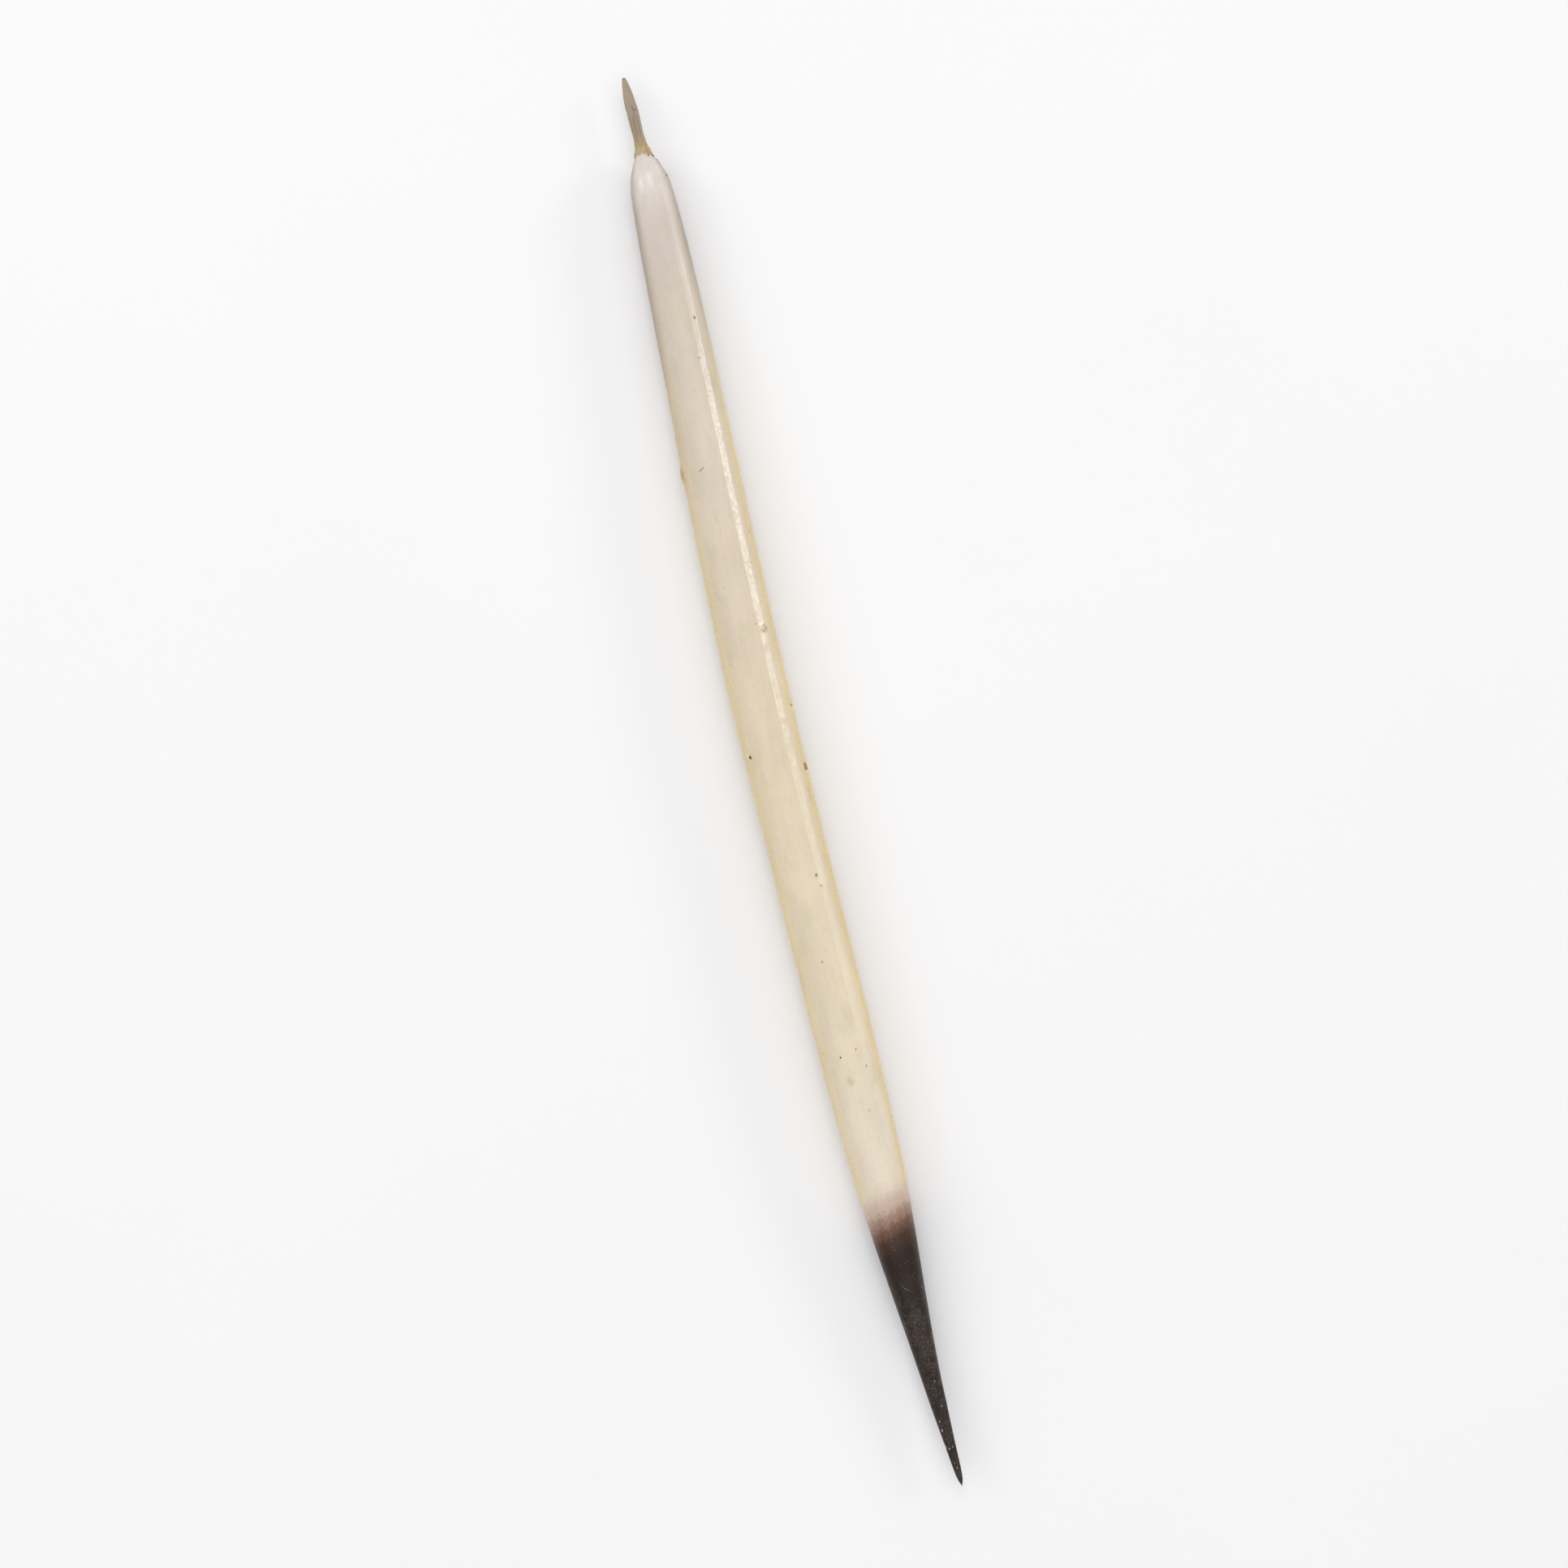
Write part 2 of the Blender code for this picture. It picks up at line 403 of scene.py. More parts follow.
def ramped(tree, value, low, high, to_low=0.0, to_high=1.0):
    """A smooth rise from one value to another as the input goes from low to high."""
    inputs = {"Value": value, "From Min": low, "From Max": high, "To Min": to_low, "To Max": to_high}
    return add_node(tree, "MapRange", inputs, interpolation_type="SMOOTHSTEP").outputs["Result"]


def tinted(tree, factor, first, second, blend="MIX"):
    """Two colours mixed by a factor."""
    inputs = {0: factor, 6: first, 7: second}
    return add_node(tree, "Mix", inputs, data_type="RGBA", blend_type=blend).outputs[2]


def shaded(tree, colour, shade):
    """A colour made darker or lighter by a factor."""
    grey = add_node(tree, "CombineColor", {0: shade, 1: shade, 2: shade}).outputs[0]
    return tinted(tree, 1.0, colour, grey, "MULTIPLY")


def noisy(tree, place, scale, detail=2.0, roughness=0.5):
    """A cloudy pattern between 0 and 1."""
    inputs = {"Vector": place, "Scale": scale, "Detail": detail, "Roughness": roughness}
    return add_node(tree, "TexNoise", inputs).outputs["Fac"]


def stretched(tree, place, x, y, z):
    """A place with its axes scaled, so that a pattern there is longer one way than another."""
    return add_node(tree, "Mapping", {"Vector": place, "Scale": (x, y, z)}).outputs[0]


def axis_of(tree, place, axis):
    return add_node(tree, "SeparateXYZ", {0: place}).outputs[axis]


def new_group(name, inputs, outputs):
    """An empty node group. Its sockets are given as (name, kind, first value)."""
    tree = bpy.data.node_groups.new(name, "ShaderNodeTree")
    for in_out, sockets in (("INPUT", inputs), ("OUTPUT", outputs)):
        for label, kind, value in sockets:
            made = tree.interface.new_socket(name=label, in_out=in_out, socket_type="NodeSocket" + kind)
            if value is not None:
                made.default_value = value
    return tree, tree.nodes.new("NodeGroupInput"), tree.nodes.new("NodeGroupOutput")


def use_group(tree, group, inputs):
    return add_node(tree, "Group", inputs, node_tree=group)


def make_grain_group():
    """Keratin's lengthwise grain: fine streaks along Y, as a tone and as a height in millimetres."""
    tree, given, result = new_group(
        "keratin_grain",
        [("Place in mm", "Vector", None), ("Spacing", "Float", 0.15), ("Stretch", "Float", 30.0)],
        [("Tone", "Float", None), ("Height", "Float", None)],
    )
    spacing = given.outputs["Spacing"]
    squeezed = reckon(tree, "DIVIDE", 1.0, given.outputs["Stretch"])
    scale = add_node(tree, "CombineXYZ", {0: 1.0, 1: squeezed, 2: 1.0}).outputs[0]
    lengthwise = add_node(
        tree, "VectorMath", {0: given.outputs["Place in mm"], 1: scale}, operation="MULTIPLY"
    ).outputs[0]
    closeness = reckon(tree, "DIVIDE", 1.0, spacing)
    coarse = noisy(tree, lengthwise, closeness, 3.0, 0.55)
    finer = noisy(tree, lengthwise, times(tree, closeness, 3.3), 2.0, 0.6)
    finer = times(tree, finer, 1 - COARSE_SHARE)
    tone = reckon(tree, "MULTIPLY_ADD", coarse, COARSE_SHARE, finer)
    deepest = times(tree, spacing, GRAIN_DEPTH)
    tree.links.new(ramped(tree, tone, 0.3, 0.7), result.inputs["Tone"])
    tree.links.new(times(tree, tone, deepest), result.inputs["Height"])
    return tree


def make_stain_group():
    """A soft-edged stain round one place, given by its distance from the shoulder and its angle."""
    tree, given, result = new_group(
        "surface_stain",
        [
            ("Along", "Float", 0.0),
            ("Angle", "Float", 0.0),
            ("Raggedness", "Float", 0.5),
            ("Stain along", "Float", 10.0),
            ("Stain angle", "Float", 90.0),
            ("Length", "Float", 0.3),
            ("Width", "Float", 0.3),
        ],
        [("Mask", "Float", None)],
    )
    away = reckon(tree, "SUBTRACT", given.outputs["Along"], given.outputs["Stain along"])
    turned = reckon(tree, "SUBTRACT", given.outputs["Angle"], given.outputs["Stain angle"])
    round_it = times(tree, turned, math.radians(STAINED_HALF_WIDTH))
    lengths = reckon(tree, "DIVIDE", away, given.outputs["Length"])
    widths = reckon(tree, "DIVIDE", round_it, given.outputs["Width"])
    squares = [reckon(tree, "POWER", share, 2.0) for share in (lengths, widths)]
    reach = reckon(tree, "SQRT", reckon(tree, "ADD", *squares))
    ragged = reckon(tree, "MULTIPLY_ADD", given.outputs["Raggedness"], 1.4, -0.7)
    edge = reckon(tree, "ADD", reach, ragged)
    tree.links.new(ramped(tree, edge, 1.15, 0.35), result.inputs["Mask"])
    return tree


def make_dust_group():
    """A thin film of dust in patches, as a mask that breaks up into grains."""
    tree, given, result = new_group(
        "dust_film",
        [("Place in mm", "Vector", None), ("Most", "Float", 0.5)],
        [("Mask", "Float", None)],
    )
    place = given.outputs["Place in mm"]
    patches = ramped(tree, noisy(tree, place, 1.7, 3.0, 0.6), 0.34, 0.68)
    grains = ramped(tree, noisy(tree, place, 13.0, 3.0, 0.7), 0.42, 0.66)
    film = reckon(tree, "MULTIPLY_ADD", grains, 0.8, 0.2)
    film = times(tree, film, reckon(tree, "MULTIPLY_ADD", patches, 0.75, 0.25))
    film = times(tree, film, given.outputs["Most"])
    tree.links.new(film, result.inputs["Mask"])
    return tree


keratin_grain = make_grain_group()
surface_stain = make_stain_group()
dust_film = make_dust_group()


def grained(tree, place, spacing, stretch):
    """Keratin's grain in one material, with that material's spacing."""
    inputs = {"Place in mm": place, "Spacing": spacing, "Stretch": stretch}
    return use_group(tree, keratin_grain, inputs)


# Stains: distance from the shoulder in millimetres, facing angle, length, width, strength.
BROWN_STAINS = [
    (13.9, 174, 0.40, 0.50, 0.80),
    (14.05, 160, 0.20, 0.07, 0.80),
    (21.2, 51, 0.24, 0.22, 0.58),
    (7.45, 54, 0.07, 0.06, 0.9),
    (24.7, 19, 0.13, 0.09, 0.8),
    (32.1, 65, 0.10, 0.08, 0.8),
    (26.5, 142, 0.09, 0.08, 0.5),
]
FAINT_STAINS = [
    (41.1, 99, 0.26, 0.20, 0.40),
    (14.3, 166, 1.1, 0.5, 0.35),
    (28.6, 30, 0.5, 0.2, 0.35),
    (36.2, 158, 0.7, 0.25, 0.25),
    (10.4, 40, 0.5, 0.2, 0.30),
]


def stains_mask(tree, stains, along, angle, ragged):
    """The strongest of several stains at each place."""
    total = 0.0
    for *stain, strength in stains:
        inputs = dict(zip(("Stain along", "Stain angle", "Length", "Width"), stain))
        inputs.update({"Along": along, "Angle": angle, "Raggedness": ragged})
        spot = use_group(tree, surface_stain, inputs).outputs["Mask"]
        total = reckon(tree, "MAXIMUM", total, times(tree, spot, strength))
    return total


def new_material(name, **sockets):
    """A Principled material with its plain values set on the shader itself."""
    material = bpy.data.materials.new(name)
    material.use_nodes = True
    shader = material.node_tree.nodes["Principled BSDF"]
    for label, value in sockets.items():
        shader.inputs[label.replace("_", " ")].default_value = value
    return material, material.node_tree, shader


def place_in_mm(tree):
    """Object coordinates in millimetres."""
    coordinates = add_node(tree, "TexCoord").outputs["Object"]
    return stretched(tree, coordinates, 1 / MM, 1 / MM, 1 / MM)


def link_relief(tree, shader, height_in_mm):
    """A relief too fine for the mesh."""
    bump = add_node(tree, "Bump", {"Strength": 1.0, "Distance": MM, "Height": height_in_mm})
    tree.links.new(bump.outputs[0], shader.inputs["Normal"])


def ivory_tones(tree, place, along):
    """Ivory that changes along the shaft, with faint clouds of blush and green in it."""
    ivory = IVORY_STOPS[0][1]
    for (before, _), (distance, colour) in zip(IVORY_STOPS, IVORY_STOPS[1:]):
        ivory = tinted(tree, ramped(tree, along, before, distance), ivory, colour)
    hues = noisy(tree, stretched(tree, place, 1.2, 0.8, 1.2), 1.0, 3.0, 0.6)
    ivory = tinted(tree, ramped(tree, hues, 0.52, 0.72, 0.0, 0.26), ivory, IVORY_BLUSH)
    return tinted(tree, ramped(tree, hues, 0.48, 0.28, 0.0, 0.22), ivory, IVORY_GREEN)


def on_both_sides(tree, angle, right, left):
    """A mask that rises between two angles on the right, and between two on the left."""
    return reckon(tree, "MAXIMUM", ramped(tree, angle, *right), ramped(tree, angle, *left))


def flank_painted_light(tree, ivory, along, angle):
    """Painted light and shade: yellow bounce light on both flanks and grey shade on both edges near the
    root, with less of it underneath.
    """
    underside = on_both_sides(tree, angle, (0.0, -40.0), (180.0, 220.0))
    above = reckon(tree, "MULTIPLY_ADD", underside, -UNDERSIDE_PALER, 1.0)
    # Painted light: warm bounce light on both flanks, stronger away from the root.
    flanks = on_both_sides(tree, angle, (50.0, 16.0), (122.0, 174.0))
    painted_bounce = times(tree, flanks, ramped(tree, along, 3.0, 14.0, 0.2, 0.85))
    ivory = tinted(tree, times(tree, painted_bounce, above), ivory, FLANK_BOUNCE_YELLOW)
    # Painted shade: both edges near the root darkened grey-brown, fading out along the shaft.
    right_fade = ramped(tree, along, 12.0, 3.0, 0.0, 0.62)
    right_edge_shade = times(tree, ramped(tree, angle, 52.0, 10.0), right_fade)
    left_fade = ramped(tree, along, 18.0, 5.0, 0.0, 0.66)
    left_edge_shade = times(tree, ramped(tree, angle, 126.0, 170.0), left_fade)
    edges = reckon(tree, "MAXIMUM", left_edge_shade, right_edge_shade)
    return tinted(tree, times(tree, edges, above), ivory, ROOT_EDGE_SHADE)


def pigmented(tree, ivory, place, along, angle):
    """The point's pigment over the ivory: a ragged slanting edge, brown streaked with black, dust."""
    streaks = noisy(tree, stretched(tree, place, 6.0, 0.5, 6.0), 1.0, 4.0, 0.6)
    grit = noisy(tree, stretched(tree, place, 17.0, 9.0, 17.0), 1.0, 3.0, 0.65)
    slant = reckon(tree, "COSINE", reckon(tree, "RADIANS", angle))
    edge = reckon(tree, "MULTIPLY_ADD", slant, EDGE_SLANT, along)
    edge = reckon(tree, "MULTIPLY_ADD", streaks, EDGE_STREAKS, edge)
    edge = reckon(tree, "MULTIPLY_ADD", grit, EDGE_GRIT, reckon(tree, "SUBTRACT", edge, EDGE_SHIFT))
    amount = ramped(tree, edge, PIGMENT_START, PIGMENT_FULL)
    colour = ivory
    thinner = 0.0
    for thickness, pigment in PIGMENT_STOPS:
        colour = tinted(tree, ramped(tree, amount, thinner, thickness), colour, pigment)
        thinner = thickness
    depth = ramped(tree, along, PIGMENT_FULL - 1.0, PIGMENT_FULL + 3.0)
    black_streaks = times(tree, ramped(tree, streaks, 0.30, 0.62), depth)
    colour = tinted(tree, black_streaks, colour, PIGMENT_BLACK)
    dusty = use_group(tree, dust_film, {"Place in mm": place, "Most": 0.55}).outputs[0]
    return tinted(tree, times(tree, dusty, depth), colour, DUST_ON_DARK)


def waxy_coat(tree, place, along):
    """The coat's strength: beaded, full on the dome, duller behind it, faint on the pigment."""
    coat = ramped(tree, along, PIGMENT_START, PIGMENT_FULL, 0.75, 0.08)
    dome = ramped(tree, along, 3.0, 1.8)
    behind_dome = ramped(tree, along, 3.0, 12.0, 0.40, 1.0)
    coat = times(tree, coat, reckon(tree, "MAXIMUM", dome, behind_dome))
    beads = noisy(tree, stretched(tree, place, 9.0, 6.0, 9.0), 1.0, 2.0, 0.6)
    return times(tree, coat, ramped(tree, beads, 0.36, 0.62, 0.45, 1.33))


def shaft_keratin():
    """Waxy ivory, greyer near the root and warmer from there on, with painted shade and bounce light on
    its flanks, and the dark pigment of the point.
    """
    material, tree, shader = new_material(
        "shaft_keratin",
        Subsurface_Weight=0.55,
        Subsurface_Radius=(1.0, 0.82, 0.58),
        Subsurface_Scale=0.40 * MM,
        Coat_Roughness=0.27,
        Coat_IOR=1.5,
        IOR=1.54,
        Specular_IOR_Level=0.18,
    )
    place = place_in_mm(tree)
    turn = axis_of(tree, add_node(tree, "UVMap").outputs[0], "X")
    angle = reckon(tree, "MULTIPLY_ADD", turn, 360.0, -90.0)
    along = reckon(tree, "SUBTRACT", SHOULDER_Y / MM, axis_of(tree, place, "Y"))

    ivory = flank_painted_light(tree, ivory_tones(tree, place, along), along, angle)
    clouds = noisy(tree, stretched(tree, place, 0.9, 0.28, 0.9), 1.0, 4.0, 0.55)
    clouded = ramped(tree, clouds, 0.3, 0.7, 0.955, 1.03)
    grain = grained(tree, place, 0.13, 42.0)
    streaked = ramped(tree, grain.outputs["Tone"], 0.0, 1.0, 0.980, 1.012)
    ivory = shaded(tree, ivory, times(tree, clouded, streaked))

    ragged = noisy(tree, place, 5.5, 3.0, 0.6)
    faint = stains_mask(tree, FAINT_STAINS, along, angle, ragged)
    ivory = tinted(tree, faint, ivory, FAINT_STAIN)
    brown = stains_mask(tree, BROWN_STAINS, along, angle, ragged)
    ivory = tinted(tree, brown, ivory, STAIN_BROWN)
    colour = pigmented(tree, ivory, place, along, angle)
    tree.links.new(colour, shader.inputs["Base Color"])

    patches = noisy(tree, place, 1.6, 3.0, 0.6)
    roughness = ramped(tree, patches, 0.3, 0.7, 0.38, 0.48)
    roughness = reckon(tree, "MULTIPLY_ADD", brown, 0.2, roughness)
    tree.links.new(roughness, shader.inputs["Roughness"])
    tree.links.new(waxy_coat(tree, place, along), shader.inputs["Coat Weight"])

    pits = noisy(tree, stretched(tree, place, 11.0, 8.0, 11.0), 1.0, 2.0, 0.5)
    link_relief(tree, shader, reckon(tree, "MULTIPLY_ADD", pits, 0.01, grain.outputs["Height"]))
    return material


shaft = wrapped_tube("quill_shaft", AROUND, ALONG, shaft_surface)
shaft.data.materials.append(shaft_keratin())
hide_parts("quill")


# The root stalk: the dry stem that held the quill in the skin, grown out of the shaft's blunt end.
# It is a papery tube of keratin, pressed flat, with a blunt tip and a few pleats near its foot.

STALK_ROOTED = 0.6 * MM
# Distance out of the shoulder and the stalk's width there.
STALK_WIDTHS = in_mm([
    (-STALK_ROOTED / MM, 0.00),
    (-0.55, 0.50),
    (0.00, 0.69),
    (0.35, 0.57),
    (0.90, 0.48),
    (1.45, 0.50),
    (2.00, 0.53),
    (2.30, 0.50),
    (2.70, 0.43),
    (3.05, 0.33),
    (3.35, 0.21),
    (3.45, 0.15),
    (STALK_LENGTH / MM, 0.00),
])
STALK_FLATNESS = 0.40
STALK_HOLLOW = 0.45
STALK_LEAN = 0.06 * MM
STALK_DROOP = 0.10 * MM
STALK_AROUND, STALK_ALONG = 108, 220
# Pleats: the way each faces in degrees, its slant, and where it starts and ends.
STALK_PLEATS = [
    (134, -9, 0.95 * MM, 1.75 * MM),
    (110, -12, 0.60 * MM, 1.70 * MM),
    (88, -10, 0.85 * MM, 1.95 * MM),
    (62, -8, 0.80 * MM, 1.75 * MM),
    (-62, 8, 0.50 * MM, 1.60 * MM),
    (-98, 6, 0.80 * MM, 2.10 * MM),
]
PLEAT_WIDTH = math.radians(5)
PLEAT_DEPTH = 0.013 * MM
WRINKLE_HEIGHT, PUCKER_HEIGHT = 0.012 * MM, 0.007 * MM
# A nick in the stalk's left edge: how far out, half its length, and its depth as a share of the width.
NICK_OUT, NICK_LENGTH, NICK_DEPTH = 1.95 * MM, 0.16 * MM, 0.10


@functools.cache
def stalk_centre(out):
    """A point of the stalk's axis, at a distance out of the shoulder."""
    share = out / STALK_LENGTH
    leaned = Vector((-STALK_LEAN * share, out, -STALK_DROOP * share * abs(share)))
    return shaft_centre(0.0) + leaned


def stalk_place(turn, way):
    """The facing angle and the distance out of the shoulder, with rows closer towards both ends."""
    spread = way - math.sin(2 * math.pi * way) / (2 * math.pi) * 0.85
    out = spread * (STALK_LENGTH + STALK_ROOTED) - STALK_ROOTED
    return column_angle(turn, STALK_AROUND), out


def pleat(turn, way):
    """How deep in a pleat a place of the stalk is, from 0 to 1."""
    angle, out = stalk_place(turn, way)
    depth = 0.0
    for facing, slant, start, end in STALK_PLEATS:
        middle = (start + end) / 2
        leaning = math.radians(facing + slant * (out - middle) / MM)
        away = turn_from(leaning, angle) / PLEAT_WIDTH
        reach = eased(start - 0.3 * MM, start + 0.2 * MM, out)
        reach *= 1 - eased(end - 0.2 * MM, end + 0.3 * MM, out)
        depth = max(depth, math.exp(-(away**2)) * reach)
    return depth


def stalk_surface(turn, way):
    """The tube pressed flat: hollow faces, a nick, wrinkles and pleats."""
    angle, out = stalk_place(turn, way)
    if way in (0.0, 1.0):
        return stalk_centre(out)
    half = smooth_through(STALK_WIDTHS, out) / 2
    side, up = math.cos(angle), math.sin(angle)
    hollow = STALK_HOLLOW * eased(0.5 * MM, 1.6 * MM, out) * (1 - side * side)
    nick = NICK_DEPTH * math.exp(-(((out - NICK_OUT) / NICK_LENGTH) ** 2)) * max(0.0, -side)
    wrinkles = noise.noise(Vector((side * half / MM * 9, out / MM * 1.4, up * 2 + 7)))
    puckers = noise.noise(Vector((side * half / MM * 6, out / MM * 5.0, up * 2 + 19)))
    fine = (WRINKLE_HEIGHT * wrinkles + PUCKER_HEIGHT * puckers) * min(1.0, half / (0.1 * MM))
    height = half * STALK_FLATNESS * (1 - hollow) * up
    height += (fine - PLEAT_DEPTH * pleat(turn, way)) * math.copysign(1.0, up) * abs(up) ** 0.5
    return stalk_centre(out) + Vector((half * (1 - nick) * side + fine * 0.6 * side, 0, height))


STALK_GREY = srgb(167, 149, 128)
STALK_FOOT = srgb(168, 146, 112)
STALK_EDGE = srgb(136, 118, 96)
PLEAT_TAUPE = srgb(120, 102, 82)


def stalk_membrane():
    """Thin dry keratin: grey-beige, a little see-through, darker in its pleats and along its edges."""
    material, tree, shader = new_material(
        "stalk_membrane",
        Subsurface_Weight=0.35,
        Subsurface_Radius=(1.0, 0.75, 0.45),
        Subsurface_Scale=0.12 * MM,
        IOR=1.5,
        Specular_IOR_Level=0.35,
    )
    place = place_in_mm(tree)
    turn = axis_of(tree, add_node(tree, "UVMap").outputs[0], "X")
    angle = reckon(tree, "MULTIPLY_ADD", turn, 2 * math.pi, -math.pi / 2)
    out = reckon(tree, "SUBTRACT", axis_of(tree, place, "Y"), SHOULDER_Y / MM)
    grain = grained(tree, place, 0.06, 16.0)
    colour = tinted(tree, ramped(tree, out, 1.3, 0.2), STALK_GREY, STALK_FOOT)
    side_on = reckon(tree, "ABSOLUTE", reckon(tree, "COSINE", angle))
    rim = times(tree, ramped(tree, side_on, 0.84, 0.99), 0.55)
    end_rim = ramped(tree, out, STALK_LENGTH / MM - 0.16, STALK_LENGTH / MM - 0.02)
    rim = reckon(tree, "MAXIMUM", rim, times(tree, end_rim, 0.9))
    colour = tinted(tree, rim, colour, STALK_EDGE)
    crease = add_node(tree, "Attribute", attribute_name="crease").outputs["Fac"]
    colour = tinted(tree, times(tree, crease, 0.8), colour, PLEAT_TAUPE)
    colour = shaded(tree, colour, ramped(tree, grain.outputs["Tone"], 0.0, 1.0, 0.94, 1.05))
    tree.links.new(colour, shader.inputs["Base Color"])
    thin = ramped(tree, out, 0.2, 1.4, 1.0, 0.84)
    thin = reckon(tree, "MAXIMUM", thin, reckon(tree, "MAXIMUM", crease, rim))
    tree.links.new(thin, shader.inputs["Alpha"])
    roughness = ramped(tree, grain.outputs["Tone"], 0.0, 1.0, 0.42, 0.60)
    tree.links.new(roughness, shader.inputs["Roughness"])
    link_relief(tree, shader, grain.outputs["Height"])
    return material


stalk = wrapped_tube("root_stalk", STALK_AROUND, STALK_ALONG, stalk_surface, {"crease": pleat})
stalk.data.materials.append(stalk_membrane())


# The dried skin: a torn sleeve of amber tissue that stayed on the foot of the stalk when the quill
# came out. It is thin, thickest on the right, and breaks up into crumbs along its edge.

SKIN_HEAVY_SIDE = math.radians(38)
SKIN_THICKNESS = 0.012 * MM
SKIN_AROUND, SKIN_ALONG = 120, 26
# How far the sleeve reaches out along the stalk and back over the dome: plainly, how much its torn
# edge changes that, and how much the heavy side adds.
SKIN_OUT = (0.26 * MM, 0.22 * MM, 0.16 * MM)
SKIN_BACK = (0.05 * MM, 0.06 * MM, 0.09 * MM)
# Its height off the quill, how deep its foot is tucked in, and its swelling and lumps in between.
SKIN_LIFT, SKIN_TUCK = 0.012 * MM, 0.060 * MM
SKIN_SWELL, SKIN_LUMPS = 0.022 * MM, 0.040 * MM
CRUMB_COUNT = 16
CRUMB_SMALLEST, CRUMB_LARGEST = 0.035 * MM, 0.11 * MM


def heavy_side(angle):
    """1 where the dried skin is thickest, 0 on the opposite side."""
    return 0.5 + 0.5 * math.cos(angle - SKIN_HEAVY_SIDE)


def shoulder_point(angle, out, lift):
    """A point over the foot of the stalk, or over the dome where the distance out is negative."""
    stalk_half = smooth_through(STALK_WIDTHS, out) / 2
    shaft_half = half_width(-out)
    side = (stalk_half**6 + shaft_half**6) ** (1 / 6) + lift
    rise = ((stalk_half * STALK_FLATNESS) ** 6 + (shaft_half * SECTION_FLATNESS) ** 6) ** (1 / 6)
    centre = stalk_centre(out) if out > 0 else shaft_centre(-out)
    return centre + Vector((side * math.cos(angle), 0, (rise + lift) * math.sin(angle)))


def skin_surface(turn, way):
    """The sleeve reaches unevenly up the stalk and down the dome."""
    angle = column_angle(turn, SKIN_AROUND)
    rim = Vector((math.cos(angle) * 2.2, math.sin(angle) * 2.2, 3))
    ragged_top = noise.noise(rim) + 0.7 * noise.noise(rim * 3.1)
    ragged_foot = noise.noise(rim + Vector((9, 0, 0))) + 0.8 * noise.noise(rim * 3.3)
    top = SKIN_OUT[0] + SKIN_OUT[1] * ragged_top + SKIN_OUT[2] * heavy_side(angle)
    foot = -(SKIN_BACK[0] + SKIN_BACK[1] * ragged_foot + SKIN_BACK[2] * heavy_side(angle) ** 2)
    out = foot + (top - foot) * way
    lumps = noise.noise(Vector((math.cos(angle) * 4, way * 3, math.sin(angle) * 4 + 11)))
    lift = SKIN_LIFT - SKIN_TUCK * (1 - eased(0.0, 0.4, way))
    lift += (SKIN_SWELL + SKIN_LUMPS * lumps) * math.sin(math.pi * way)
    return shoulder_point(angle, out, lift)


def axes_at(here, rootward, outward):
    """Axes at a place: X across, Y towards the root and Z straight out."""
    across = rootward.cross(outward)
    return Matrix.Translation(here) @ Matrix((across, rootward, outward)).transposed().to_4x4()


def add_lump(shape, axes, size, tone, roundness=2):
    """A small irregular lump on the surface. Its tone is kept as an attribute of the mesh."""
    tones = shape.verts.layers.float["tone"]
    made = bmesh.ops.create_icosphere(shape, subdivisions=roundness, radius=0.5)["verts"]
    offset = Vector((tone * 31, size[0] / MM * 57, 0))
    for vert in made:
        vert.co *= 1 + 0.7 * noise.noise(vert.co * 2.6 + offset)
        vert[tones] = tone
    bmesh.ops.transform(shape, matrix=axes @ Matrix.Diagonal((*size, 1)), verts=made)


def lumps_shape():
    """An empty bmesh for lumps and their tones."""
    shape = bmesh.new()
    shape.verts.layers.float.new("tone")
    return shape


def make_crumbs():
    """Crumbs of dried skin, most of them on the sleeve's heavy side."""
    dice = random.Random(7)
    shape = lumps_shape()
    for _ in range(CRUMB_COUNT):
        angle = SKIN_HEAVY_SIDE + dice.gauss(0, 0.75)
        out = dice.uniform(-0.12, 0.30) * MM
        here = shoulder_point(angle, out, dice.uniform(0.005, 0.030) * MM)
        outward = Vector((math.cos(angle), 0.3, math.sin(angle))).normalized()
        rootward = Vector((0, 1, 0)) - outward * outward.y
        size = [dice.uniform(CRUMB_SMALLEST, CRUMB_LARGEST) * share for share in (1.0, 1.2, 0.7)]
        add_lump(shape, axes_at(here, rootward.normalized(), outward), size, dice.random())
    bmesh.ops.recalc_face_normals(shape, faces=shape.faces)
    return finished_piece("skin_crumbs", shape)


SKIN_BEIGE = srgb(186, 164, 130)
SKIN_AMBER = srgb(188, 156, 90)
SKIN_BROWN = srgb(142, 108, 68)


def dried_skin(name, pale, dark):
    """Dry translucent tissue, beige where it is thin and amber to brown where it is thick."""
    material, tree, shader = new_material(
        name,
        Subsurface_Weight=0.40,
        Subsurface_Radius=(1.0, 0.62, 0.28),
        Subsurface_Scale=0.10 * MM,
        IOR=1.5,
        Specular_IOR_Level=0.4,
    )
    place = place_in_mm(tree)
    side = axis_of(tree, place, "X")
    clots = noisy(tree, place, 5.0, 4.0, 0.62)
    heavy = ramped(tree, side, POINT_X / MM - 0.2, POINT_X / MM + 0.45, -0.12, 0.16)
    colour = tinted(tree, ramped(tree, reckon(tree, "ADD", clots, heavy), 0.42, 0.72), pale, dark)
    dark_bits = ramped(tree, noisy(tree, place, 13.0, 2.0, 0.5), 0.58, 0.70)
    colour = tinted(tree, times(tree, dark_bits, 0.30), colour, SKIN_BROWN)
    tree.links.new(colour, shader.inputs["Base Color"])
    tree.links.new(ramped(tree, clots, 0.3, 0.7, 0.65, 0.38), shader.inputs["Roughness"])
    link_relief(tree, shader, times(tree, clots, 0.03))
    return material


